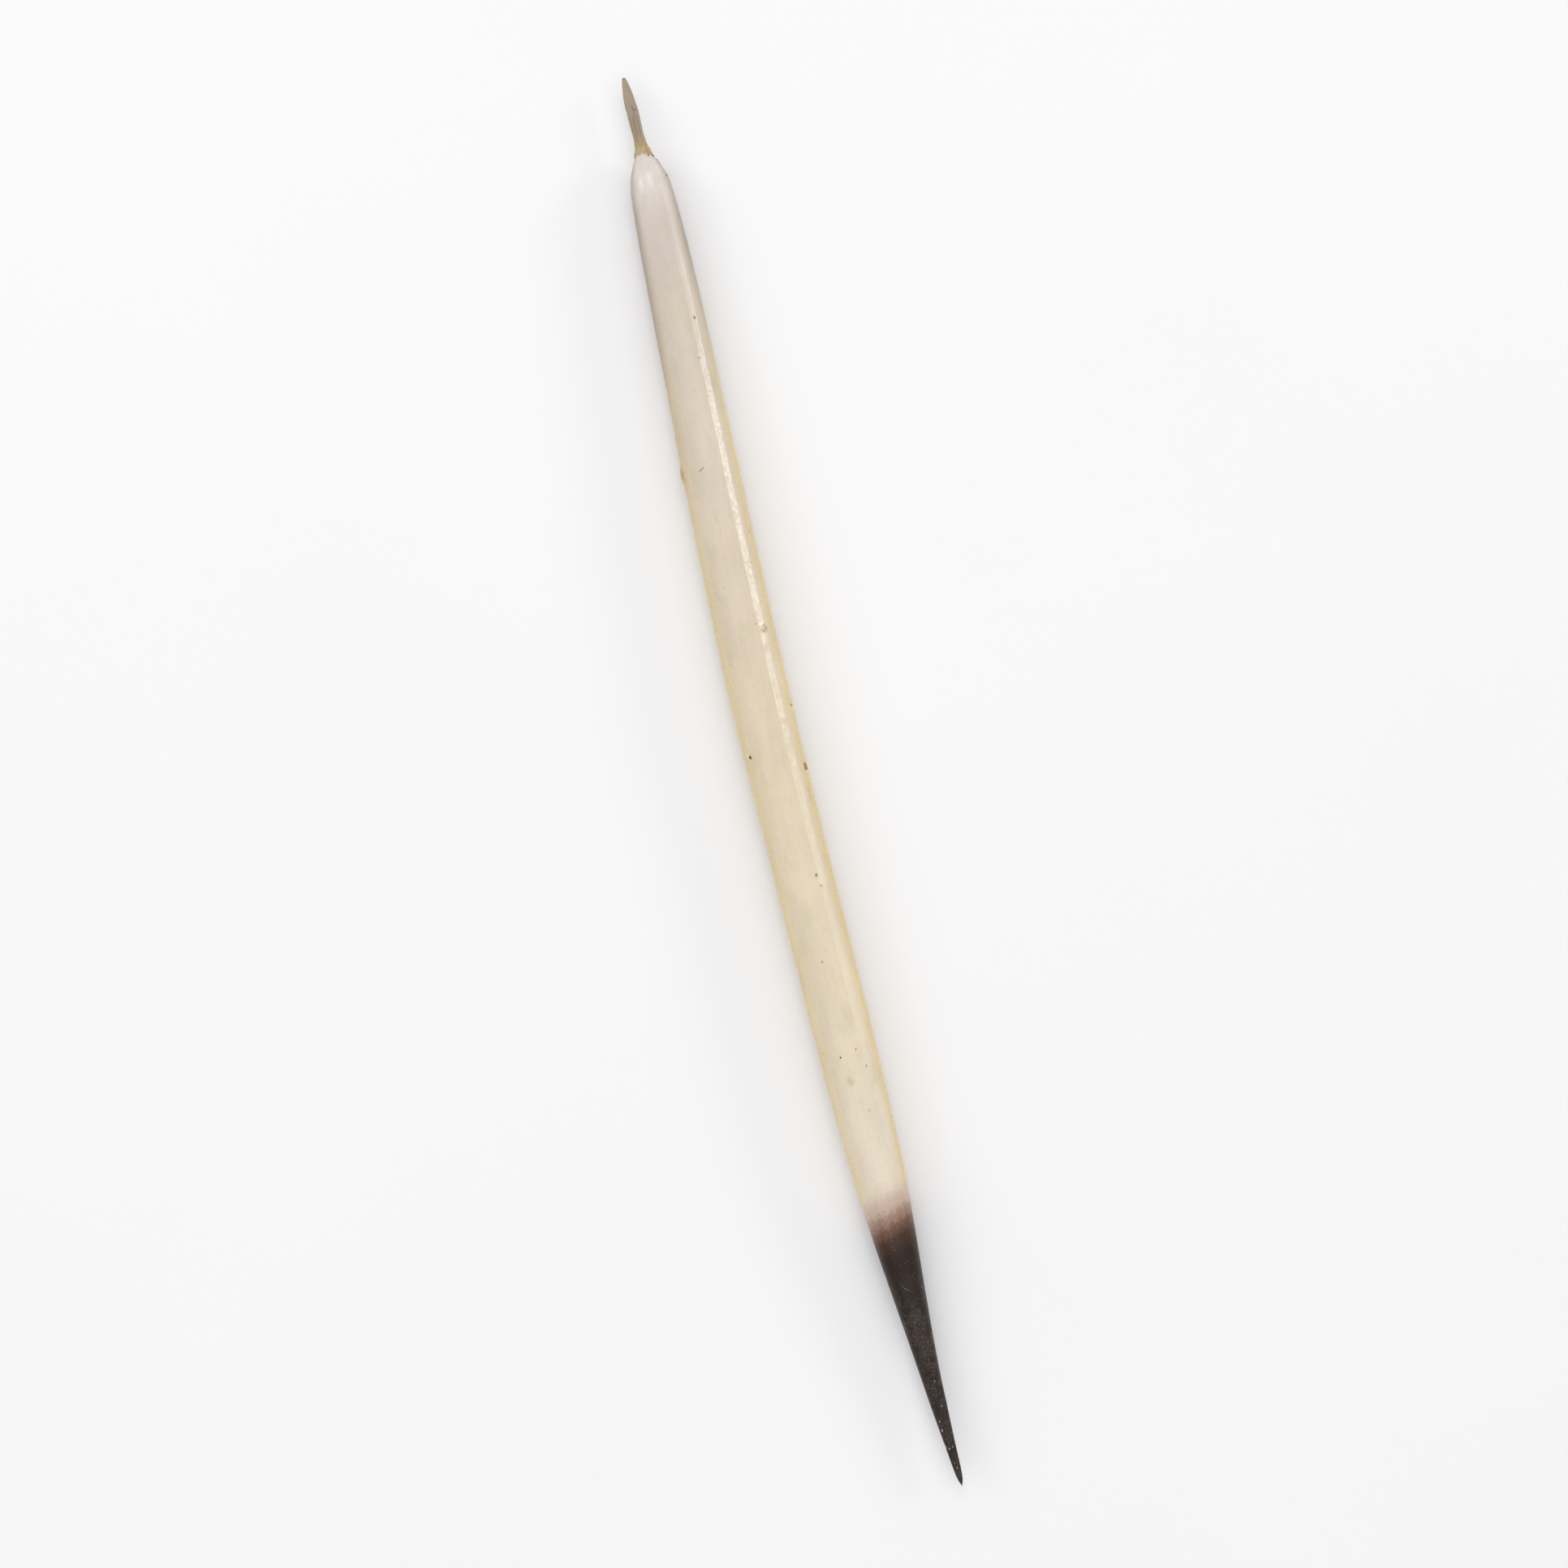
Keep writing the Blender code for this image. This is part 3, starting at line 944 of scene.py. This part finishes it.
skin = wrapped_tube("dried_skin", SKIN_AROUND, SKIN_ALONG, skin_surface)
wall = skin.modifiers.new("thickness", "SOLIDIFY")
wall.thickness, wall.offset = SKIN_THICKNESS, -1.0
skin.data.materials.append(dried_skin("dried_skin_sleeve", SKIN_BEIGE, SKIN_AMBER))
crumbs = make_crumbs()
crumbs.data.materials.append(dried_skin("dried_skin_crumbs", SKIN_AMBER, SKIN_BROWN))


# The barbs: overlapping scales of the shaft's own dark keratin, grown all round the last few
# millimetres. Each is a flat leaf that lies back towards the root, its free end a little raised.

BARBS_START, BARBS_END = 54.9 * MM, 59.3 * MM
BARB_LENGTH, BARB_WIDTH, BARB_THICKNESS = 0.15 * MM, 0.060 * MM, 0.020 * MM
BARB_AREA = 0.0056 * MM * MM
BARB_SIDES = 8
BARB_RAISE = math.radians(9)
# The first scales are smaller, and so are those where the point is thin.
FIRST_BARB_SIZE = 0.45
BARBS_FULL_SIZE = BARBS_START + 0.9 * MM
THINNEST_BARB_SIZE, FULL_BARB_HALF_WIDTH = 0.35, 0.26 * MM
GOLDEN_ANGLE = math.pi * (3 - math.sqrt(5))
# Operators are slow on a large bmesh, so the scales are made in small batches.
BATCH_VERTS = 600


def shaft_frame(angle, along, lift=0.0):
    """Axes at a place of the shaft's surface: X round it, Y towards the root and Z straight out."""
    here = shaft_point(angle, along, lift)
    around = shaft_point(angle + 0.05, along) - shaft_point(angle - 0.05, along)
    step = 0.04 * MM
    rootward = shaft_point(angle, max(0.0, along - step)) - shaft_point(angle, along + step)
    rootward.normalize()
    outward = rootward.cross(around).normalized()
    return axes_at(here, rootward, outward)


def add_barb(shape, angle, along, size):
    """One scale: a cone pressed flat, its wide end rooted towards the point."""
    made = bmesh.ops.create_cone(
        shape, cap_ends=True, segments=BARB_SIDES, radius1=0.5, radius2=0.07, depth=1
    )["verts"]
    pressed = Matrix.Diagonal((BARB_WIDTH * size, BARB_THICKNESS * size, BARB_LENGTH * size, 1))
    laid_back = Matrix.Rotation(-math.pi / 2, 4, "X")
    raised = Matrix.Rotation(BARB_RAISE, 4, "X")
    axes = shaft_frame(angle, along)
    bmesh.ops.transform(shape, matrix=axes @ raised @ laid_back @ pressed, verts=made)


def make_barbs():
    """Each scale is a golden angle on from the last, and each has the same area to itself."""
    dice = random.Random(3)
    shape, batch = bmesh.new(), bmesh.new()
    batch_mesh = bpy.data.meshes.new("barb_batch")
    along, turn = BARBS_START, 0.0
    while along < BARBS_END:
        size = FIRST_BARB_SIZE + (1 - FIRST_BARB_SIZE) * eased(BARBS_START, BARBS_FULL_SIZE, along)
        size *= min(1.0, THINNEST_BARB_SIZE + half_width(along) / FULL_BARB_HALF_WIDTH)
        add_barb(batch, turn + dice.uniform(-0.15, 0.15), along, size * dice.uniform(0.8, 1.15))
        along += BARB_AREA / (2 * math.pi * half_width(along))
        turn += GOLDEN_ANGLE
        if len(batch.verts) > BATCH_VERTS or along >= BARBS_END:
            batch.to_mesh(batch_mesh)
            shape.from_mesh(batch_mesh)
            batch.clear()
    batch.free()
    bpy.data.meshes.remove(batch_mesh)
    bmesh.ops.recalc_face_normals(shape, faces=shape.faces)
    return finished_piece("point_barbs", shape)


def barb_keratin():
    """The shaft's dark keratin, black to brown along its grain, under a film of dust."""
    material, tree, shader = new_material("barb_keratin", IOR=1.54, Specular_IOR_Level=0.35)
    place = place_in_mm(tree)
    grain = grained(tree, place, 0.05, 3.0)
    colour = tinted(tree, grain.outputs["Tone"], PIGMENT_BLACK, PIGMENT_BROWN)
    dusty = use_group(tree, dust_film, {"Place in mm": place, "Most": 0.65}).outputs[0]
    colour = tinted(tree, dusty, colour, DUST_ON_DARK)
    tree.links.new(colour, shader.inputs["Base Color"])
    roughness = ramped(tree, grain.outputs["Tone"], 0.0, 1.0, 0.36, 0.52)
    tree.links.new(roughness, shader.inputs["Roughness"])
    return material


barbs = make_barbs()
barbs.data.materials.append(barb_keratin())


# Soil and dust: what the quill picked up. Dark and rust-brown specks of soil are stuck to the ivory
# and to the stalk. Pale dust and flakes lie on the dark point, and two of the flakes by the dome.

# Each speck in the photograph: distance from the shoulder, place across as a share of the half
# width, size and tone, from dark at 0 to rust at 1.
SOIL_SPECKS = [
    (1.10 * MM, 0.96, 0.085 * MM, 0.3),
    (5.2 * MM, 0.00, 0.034 * MM, 1.0),
    (7.45 * MM, 0.60, 0.075 * MM, 0.7),
    (9.2 * MM, 0.44, 0.050 * MM, 0.5),
    (20.95 * MM, 0.42, 0.042 * MM, 1.0),
    (21.1 * MM, 0.66, 0.036 * MM, 1.0),
    (21.2 * MM, 0.73, 0.045 * MM, 1.0),
    (24.7 * MM, 0.95, 0.090 * MM, 0.9),
    (26.5 * MM, -0.78, 0.115 * MM, 0.15),
    (27.4 * MM, 0.94, 0.220 * MM, 1.0),
    (32.1 * MM, 0.42, 0.090 * MM, 1.0),
    (32.6 * MM, 0.50, 0.060 * MM, 0.7),
    (35.8 * MM, -0.10, 0.060 * MM, 0.5),
    (40.0 * MM, -0.30, 0.075 * MM, 0.2),
    (40.6 * MM, 0.50, 0.055 * MM, 0.6),
]
# Brown flecks on the stalk: how far out, place across as a share of the half width, and size.
STALK_FLECKS = [
    (2.02 * MM, 0.42, 0.075 * MM),
    (2.12 * MM, 0.16, 0.060 * MM),
]
FINE_SOIL_COUNT = 90
FINE_SOIL_ALONG = (2.0 * MM, 47.0 * MM)
# Pale flakes: distance from the shoulder, place across as a share of the half width, and size.
PALE_FLAKES = [
    (0.36 * MM, 0.96, 0.075 * MM),
    (0.46 * MM, 0.99, 0.060 * MM),
    (55.75 * MM, 0.30, 0.055 * MM),
    (56.4 * MM, -0.50, 0.070 * MM),
    (56.8 * MM, -0.56, 0.090 * MM),
    (57.55 * MM, -0.88, 0.110 * MM),
    (57.65 * MM, -0.35, 0.080 * MM),
    (57.6 * MM, 0.30, 0.060 * MM),
    (58.55 * MM, 0.10, 0.060 * MM),
]
DUST_COUNT = 170
DUST_START, DUST_END = 47.4 * MM, 59.0 * MM
SMALLEST_SOIL, SMALLEST_DUST = 0.016 * MM, 0.008 * MM
GRAIN_SIZE_SPREAD = 0.034 * MM


def add_grain(shape, dice, angle, along, smallest, longest, flatness):
    """One grain on the shaft. Most grains are near the smallest size."""
    size = smallest + GRAIN_SIZE_SPREAD * dice.random() ** 3
    lump = [size, size * dice.uniform(0.8, longest), size * flatness]
    add_lump(shape, shaft_frame(angle, along), lump, dice.random(), 1)


def make_soil():
    dice = random.Random(11)
    shape = lumps_shape()
    for along, share, size, tone in SOIL_SPECKS:
        lump = [size * dice.uniform(0.8, 1.1), size * dice.uniform(1.0, 1.5), size * 0.6]
        add_lump(shape, shaft_frame(math.acos(share), along), lump, tone)
    for out, share, size in STALK_FLECKS:
        here = shoulder_point(math.acos(share), out, -0.020 * MM)
        slanted = Vector((0.4, 0.9, 0)).normalized()
        lump = [size * 1.4, size * 0.7, size * 0.5]
        add_lump(shape, axes_at(here, slanted, Vector((0, 0, 1))), lump, 0.5)
    for _ in range(FINE_SOIL_COUNT):
        angle = dice.uniform(0, 2 * math.pi)
        along = dice.uniform(*FINE_SOIL_ALONG)
        add_grain(shape, dice, angle, along, SMALLEST_SOIL, 1.8, 0.6)
    bmesh.ops.recalc_face_normals(shape, faces=shape.faces)
    return finished_piece("soil_specks", shape)


def make_dust():
    dice = random.Random(19)
    shape = lumps_shape()
    for along, share, size in PALE_FLAKES:
        lump = [size * 0.7, size * dice.uniform(1.0, 1.5), size * 0.35]
        add_lump(shape, shaft_frame(math.acos(share), along, BARB_THICKNESS), lump, 1.0)
    for _ in range(DUST_COUNT):
        along = DUST_START + (DUST_END - DUST_START) * dice.random() ** 1.2
        angle = math.pi / 2 + dice.gauss(0, 1.0)
        add_grain(shape, dice, angle, along, SMALLEST_DUST, 2.2, 0.5)
    bmesh.ops.recalc_face_normals(shape, faces=shape.faces)
    return finished_piece("dust_grains", shape)


def gritty(name, darkest, lightest, roughness):
    """Matt grains whose colour follows the tone that each lump was given."""
    material, tree, shader = new_material(name, Specular_IOR_Level=0.3)
    place = place_in_mm(tree)
    tone = add_node(tree, "Attribute", attribute_name="tone").outputs["Fac"]
    mottle = noisy(tree, place, 30.0, 2.0, 0.6)
    tone = reckon(tree, "ADD", tone, reckon(tree, "MULTIPLY_ADD", mottle, 0.6, -0.3))
    tree.links.new(tinted(tree, tone, darkest, lightest), shader.inputs["Base Color"])
    mottled = ramped(tree, mottle, 0.3, 0.7, roughness - 0.08, roughness + 0.08)
    tree.links.new(mottled, shader.inputs["Roughness"])
    return material


soil = make_soil()
soil.data.materials.append(gritty("soil", srgb(66, 52, 38), srgb(172, 126, 74), 0.8))
dust = make_dust()
dust.data.materials.append(gritty("dust", srgb(92, 80, 72), srgb(186, 176, 166), 0.85))


# Stuck hairs: a short dark bristle that lies slantwise on the ivory, and wisps of pale lint on the
# dark point. Each is one fine tube that follows the surface, with both its ends drawn to a point.

HAIR_AROUND, HAIR_ALONG = 8, 28
# Facing angle in degrees and distance from the shoulder at both ends, bow in degrees, thickness.
BRISTLE = ((102, 13.85 * MM), (114, 13.99 * MM), -1.5, 0.022 * MM)
LINT = [
    ((78, 50.6 * MM), (106, 50.2 * MM), 6.0, 0.006 * MM),
    ((96, 53.9 * MM), (80, 53.6 * MM), -9.0, 0.006 * MM),
]


def laid_hair(name, start, end, bow, thickness):
    """A hair laid over the shaft from start to end."""

    def hair_surface(turn, way):
        angle = math.radians(start[0] + (end[0] - start[0]) * way + bow * math.sin(math.pi * way))
        along = start[1] + (end[1] - start[1]) * way
        slant = math.atan2(math.radians(end[0] - start[0]) * half_width(along), start[1] - end[1])
        around = column_angle(turn, HAIR_AROUND) + math.pi / 2
        radius = thickness / 2 * math.sin(math.pi * way) ** 0.4
        side = Vector((math.cos(around) * radius, 0, math.sin(around) * radius))
        axes = shaft_frame(angle, along, thickness * 0.4)
        return axes @ Matrix.Rotation(slant, 4, "Z") @ side

    return wrapped_tube(name, HAIR_AROUND, HAIR_ALONG, hair_surface)


def hair_fibre(name, root, tip):
    """Hair between two tones, mixed by its own fine grain."""
    material, tree, shader = new_material(name, Specular_IOR_Level=0.4)
    grain = grained(tree, place_in_mm(tree), 0.03, 2.0)
    tree.links.new(tinted(tree, grain.outputs["Tone"], root, tip), shader.inputs["Base Color"])
    roughness = ramped(tree, grain.outputs["Tone"], 0.0, 1.0, 0.40, 0.55)
    tree.links.new(roughness, shader.inputs["Roughness"])
    return material


bristle = laid_hair("stuck_bristle", *BRISTLE)
bristle.data.materials.append(hair_fibre("bristle", srgb(92, 76, 62), srgb(140, 122, 104)))
lint_fibre = hair_fibre("lint", srgb(128, 118, 110), srgb(172, 164, 156))
for number, wisp in enumerate(LINT, 1):
    lint = laid_hair(f"stuck_lint_{number}", *wisp)
    lint.data.materials.append(lint_fibre)


# The table, the light and the camera: a plain white table under a broad soft light, a far strip on
# the right for the line of light along the narrow flat, and two small lights beyond the root for the
# dome's bright spots. The camera looks straight down, turned so that the quill leans.

TABLE_SIZE = 3.0
TABLE_WHITE, TABLE_GREY = srgb(240, 240, 241), srgb(237, 237, 239)
LEAN = math.radians(13.47)
FRAME_FILL = 0.90
LENS = 110.0
SENSOR = 36.0
# Each light: name, place, what it faces, width, length, power in watts and colour.
LIGHTS = [
    ("overhead", (-0.02, 0.02, 0.52), (0, 0, 0), 1.10, 1.10, 2.66, (1.0, 0.99, 0.97)),
    ("strip", (0.910, 0.098, 0.384), (0, 0, 0), 0.20, 0.11, 1.75, (1.0, 0.98, 0.94)),
    ("window_left", (-0.42, 0.31, 0.30), (0, 0.02, 0), 0.20, 0.05, 0.50, (1.0, 1.0, 1.0)),
    ("window_right", (0.04, 0.24, 0.37), (0, 0.02, 0), 0.16, 0.04, 0.28, (1.0, 1.0, 1.0)),
]
ROOM_COLOUR = (0.96, 0.965, 0.98, 1)
ROOM_BRIGHTNESS = 0.45


def lay_table():
    shape = bmesh.new()
    bmesh.ops.create_grid(shape, x_segments=1, y_segments=1, size=TABLE_SIZE / 2)
    mesh = bpy.data.meshes.new("table")
    shape.to_mesh(mesh)
    shape.free()
    table = bpy.data.objects.new("table", mesh)
    bpy.context.scene.collection.objects.link(table)
    material, tree, shader = new_material("table_white", Roughness=0.75)
    mottle = noisy(tree, place_in_mm(tree), 0.05, 2.0)
    tree.links.new(tinted(tree, mottle, TABLE_WHITE, TABLE_GREY), shader.inputs["Base Color"])
    mesh.materials.append(material)


def soft_light(name, place, aim, width, length, watts, colour):
    """A one-sided area light that faces a point. Its length lies along Y."""
    light = bpy.data.lights.new(name, "AREA")
    light.shape = "RECTANGLE"
    light.size, light.size_y = width, length
    light.energy = watts
    light.color = colour
    lamp = bpy.data.objects.new(name, light)
    facing = (Vector(place) - Vector(aim)).normalized()
    lengthwise = Vector((0, 1, 0))
    lengthwise = (lengthwise - facing * lengthwise.dot(facing)).normalized()
    turned = Matrix((lengthwise.cross(facing), lengthwise, facing)).transposed().to_4x4()
    lamp.matrix_world = Matrix.Translation(place) @ turned
    lamp.visible_camera = False
    bpy.context.scene.collection.objects.link(lamp)


def light_room():
    """A faint even light from all round."""
    world = bpy.data.worlds.new("soft_room")
    world.use_nodes = True
    background = world.node_tree.nodes["Background"]
    background.inputs["Color"].default_value = ROOM_COLOUR
    background.inputs["Strength"].default_value = ROOM_BRIGHTNESS
    bpy.context.scene.world = world


def set_camera():
    """Frames the quill along the picture's height, seen from straight above."""
    camera = bpy.data.objects.new("camera", bpy.data.cameras.new("camera"))
    camera.data.lens = LENS
    camera.data.sensor_width = SENSOR
    camera.data.clip_start = MM
    camera.rotation_euler = (0, 0, -LEAN)
    seen_height = (QUILL_HIGH.y - QUILL_LOW.y) * math.cos(LEAN) / FRAME_FILL
    middle = (QUILL_LOW + QUILL_HIGH) / 2
    camera.location = middle + Vector((0, 0, seen_height * LENS / SENSOR))
    bpy.context.scene.collection.objects.link(camera)
    bpy.context.scene.camera = camera


lay_table()
for light_values in LIGHTS:
    soft_light(*light_values)
light_room()
bpy.context.scene.view_settings.view_transform = "Standard"
set_camera()
